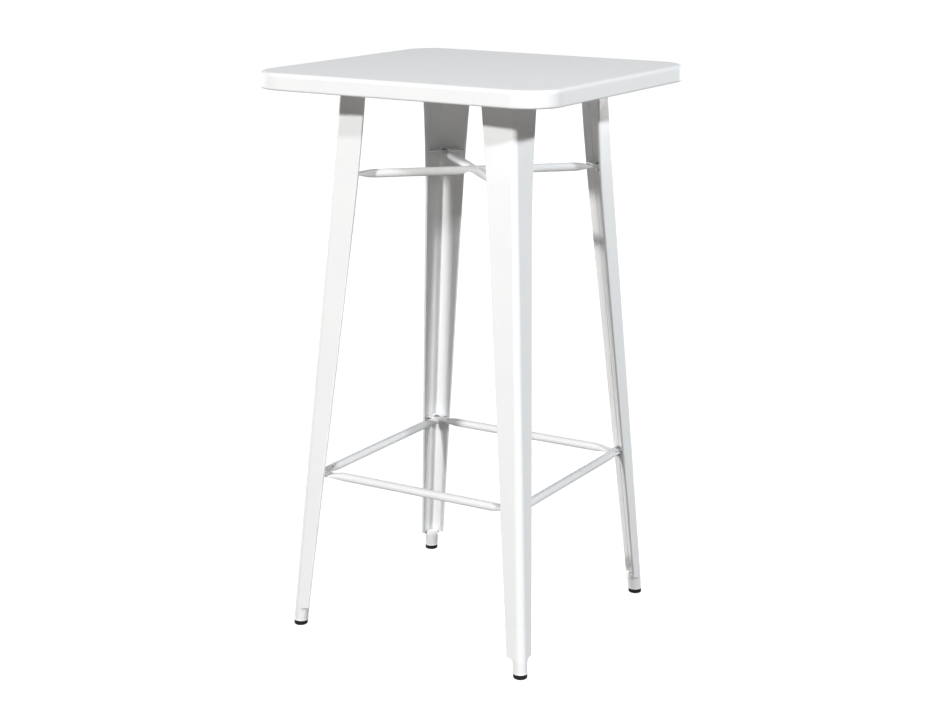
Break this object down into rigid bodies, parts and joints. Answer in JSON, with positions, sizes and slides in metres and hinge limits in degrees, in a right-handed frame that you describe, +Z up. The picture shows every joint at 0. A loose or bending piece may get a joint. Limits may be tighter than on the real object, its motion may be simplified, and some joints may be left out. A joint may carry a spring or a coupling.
{
  "type": "bar-height pub table",
  "caption": "Bar-height table: square pressed-steel top with rounded corners on splayed hemmed-angle legs, with a tube cross brace and a footrest ring.",
  "frame": {"origin": "on the floor, under the middle of the top", "axes": "+Z up, through the middle of the top; the front is -Y; the two channels under the top run along X"},
  "size_m": [0.6, 0.6, 1.06],
  "materials": {
    "white_powder_coat": "gloss white powder coat over pressed sheet steel",
    "foot_rubber": "plain moulded black rubber",
    "zinc_plated_steel": "bright zinc plate"
  },
  "bodies": {
    "root": {"brace_bolts": "zinc_plated_steel", "brace_bracket_front_left": "white_powder_coat", "brace_bracket_front_right": "white_powder_coat", "brace_bracket_rear_left": "white_powder_coat", "brace_bracket_rear_right": "white_powder_coat", "brace_nuts": "zinc_plated_steel", "cross_brace_lower": "white_powder_coat", "cross_brace_upper": "white_powder_coat", "foot_ferrule_front_left": "white_powder_coat", "foot_ferrule_front_right": "white_powder_coat", "foot_ferrule_rear_left": "white_powder_coat", "foot_ferrule_rear_right": "white_powder_coat", "footrest_bolts": "zinc_plated_steel", "footrest_gusset_front_left": "white_powder_coat", "footrest_gusset_front_right": "white_powder_coat", "footrest_gusset_rear_left": "white_powder_coat", "footrest_gusset_rear_right": "white_powder_coat", "footrest_nuts": "zinc_plated_steel", "footrest_tube_front": "white_powder_coat", "footrest_tube_left": "white_powder_coat", "footrest_tube_rear": "white_powder_coat", "footrest_tube_right": "white_powder_coat", "leg_bolts": "zinc_plated_steel", "leg_front_left": "white_powder_coat", "leg_front_right": "white_powder_coat", "leg_rear_left": "white_powder_coat", "leg_rear_right": "white_powder_coat", "leg_top_plate_front_left": "white_powder_coat", "leg_top_plate_front_right": "white_powder_coat", "leg_top_plate_rear_left": "white_powder_coat", "leg_top_plate_rear_right": "white_powder_coat", "leg_weld_nuts": "zinc_plated_steel", "rubber_foot_front_left": "foot_rubber", "rubber_foot_front_right": "foot_rubber", "rubber_foot_rear_left": "foot_rubber", "rubber_foot_rear_right": "foot_rubber", "stiffener_channel_front": "white_powder_coat", "stiffener_channel_rear": "white_powder_coat", "tabletop_pan": "white_powder_coat"}
  },
  "joints": []
}
